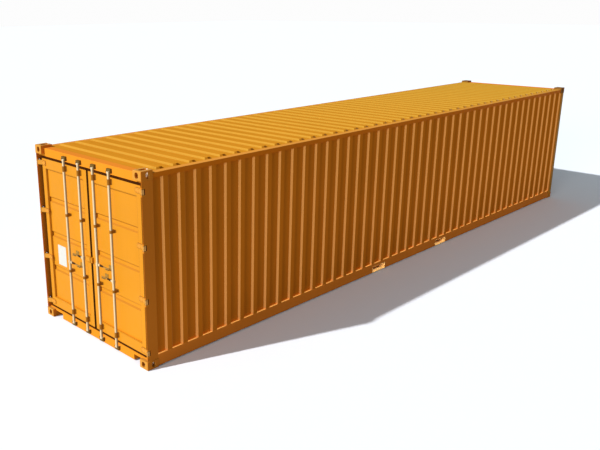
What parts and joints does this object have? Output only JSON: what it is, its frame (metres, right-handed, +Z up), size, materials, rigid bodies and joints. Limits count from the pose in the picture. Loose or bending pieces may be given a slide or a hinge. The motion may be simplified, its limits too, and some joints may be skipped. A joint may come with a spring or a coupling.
{
  "type": "shipping container",
  "caption": "Long steel freight container with ribbed walls, hinged double end doors, locking bars, lift handles, corner castings and fork pockets",
  "frame": {"origin": "centre of the footprint on the ground, under the middle of the container", "axes": "+X along the length from the doors to the blind end, +Y across, to the left as seen facing the doors, +Z up"},
  "size_m": [12.192, 2.438, 2.591],
  "materials": {
    "orange_paint": "satin",
    "pocket_paint": "satin",
    "galvanised": "satin",
    "seal": "matte",
    "floor_board": "matte"
  },
  "bodies": {
    "container": {"corner_castings_bottom": "orange_paint", "corner_castings_top": "orange_paint", "door_sill": "orange_paint", "door_header": "orange_paint", "left_rear_post": "orange_paint", "right_rear_post": "orange_paint", "left_hinge_lugs": "orange_paint", "right_hinge_lugs": "orange_paint", "left_front_post": "orange_paint", "right_front_post": "orange_paint", "front_sill": "orange_paint", "front_header": "orange_paint", "front_wall": "orange_paint", "left_side_wall": "orange_paint", "right_side_wall": "orange_paint", "left_top_rail": "orange_paint", "right_top_rail": "orange_paint", "left_bottom_rail": "orange_paint", "right_bottom_rail": "orange_paint", "roof": "orange_paint", "floor": "floor_board", "cross_members": "orange_paint", "fork_pockets": "pocket_paint", "bar_keepers": "galvanised", "keeper_caps": "galvanised", "doorway_corner_plates": "orange_paint", "gooseneck_recess": "orange_paint", "roof_end_plates": "orange_paint"},
    "left_door": {"left_door_frame": "orange_paint", "left_door_panel": "orange_paint", "left_door_gasket": "seal", "left_door_hinges": "galvanised", "left_bar_brackets": "galvanised", "left_handle_catches": "galvanised", "left_lock_plate": "orange_paint"},
    "left_outer_bar": {"left_outer_bar": "galvanised"},
    "left_outer_handle": {"left_outer_handle": "galvanised"},
    "left_inner_bar": {"left_inner_bar": "galvanised"},
    "left_inner_handle": {"left_inner_handle": "galvanised"},
    "right_door": {"right_door_frame": "orange_paint", "right_door_panel": "orange_paint", "right_door_gasket": "seal", "right_door_hinges": "galvanised", "right_bar_brackets": "galvanised", "right_handle_catches": "galvanised", "right_lock_plate": "orange_paint"},
    "right_outer_bar": {"right_outer_bar": "galvanised"},
    "right_outer_handle": {"right_outer_handle": "galvanised"},
    "right_inner_bar": {"right_inner_bar": "galvanised"},
    "right_inner_handle": {"right_inner_handle": "galvanised"}
  },
  "joints": [
    {"name": "left_door_hinge", "type": "hinge", "parent": "container", "child": "left_door", "pos_m": [-6.083, 1.206, 1.285], "axis": [0, 0, -1], "range_deg": [0, 268]},
    {"name": "left_outer_bar_turn", "type": "hinge", "parent": "left_door", "child": "left_outer_bar", "pos_m": [-6.0715, 0.522, 1.295], "axis": [0, 0, 1], "range_deg": [-110, 0]},
    {"name": "left_outer_handle_lift", "type": "hinge", "parent": "left_outer_bar", "child": "left_outer_handle", "pos_m": [-6.0715, 0.48, 1.013], "axis": [1, 0, 0], "range_deg": [-25, 0]},
    {"name": "left_inner_bar_turn", "type": "hinge", "parent": "left_door", "child": "left_inner_bar", "pos_m": [-6.0715, 0.168, 1.295], "axis": [0, 0, -1], "range_deg": [-110, 0]},
    {"name": "left_inner_handle_lift", "type": "hinge", "parent": "left_inner_bar", "child": "left_inner_handle", "pos_m": [-6.0715, 0.21, 1.158], "axis": [-1, 0, 0], "range_deg": [-25, 0]},
    {"name": "right_door_hinge", "type": "hinge", "parent": "container", "child": "right_door", "pos_m": [-6.083, -1.206, 1.285], "axis": [0, 0, 1], "range_deg": [0, 268]},
    {"name": "right_outer_bar_turn", "type": "hinge", "parent": "right_door", "child": "right_outer_bar", "pos_m": [-6.0715, -0.522, 1.295], "axis": [0, 0, -1], "range_deg": [-110, 0]},
    {"name": "right_outer_handle_lift", "type": "hinge", "parent": "right_outer_bar", "child": "right_outer_handle", "pos_m": [-6.0715, -0.48, 1.013], "axis": [-1, 0, 0], "range_deg": [-25, 0]},
    {"name": "right_inner_bar_turn", "type": "hinge", "parent": "right_door", "child": "right_inner_bar", "pos_m": [-6.0715, -0.168, 1.295], "axis": [0, 0, 1], "range_deg": [-110, 0]},
    {"name": "right_inner_handle_lift", "type": "hinge", "parent": "right_inner_bar", "child": "right_inner_handle", "pos_m": [-6.0715, -0.21, 1.158], "axis": [1, 0, 0], "range_deg": [-25, 0]}
  ]
}
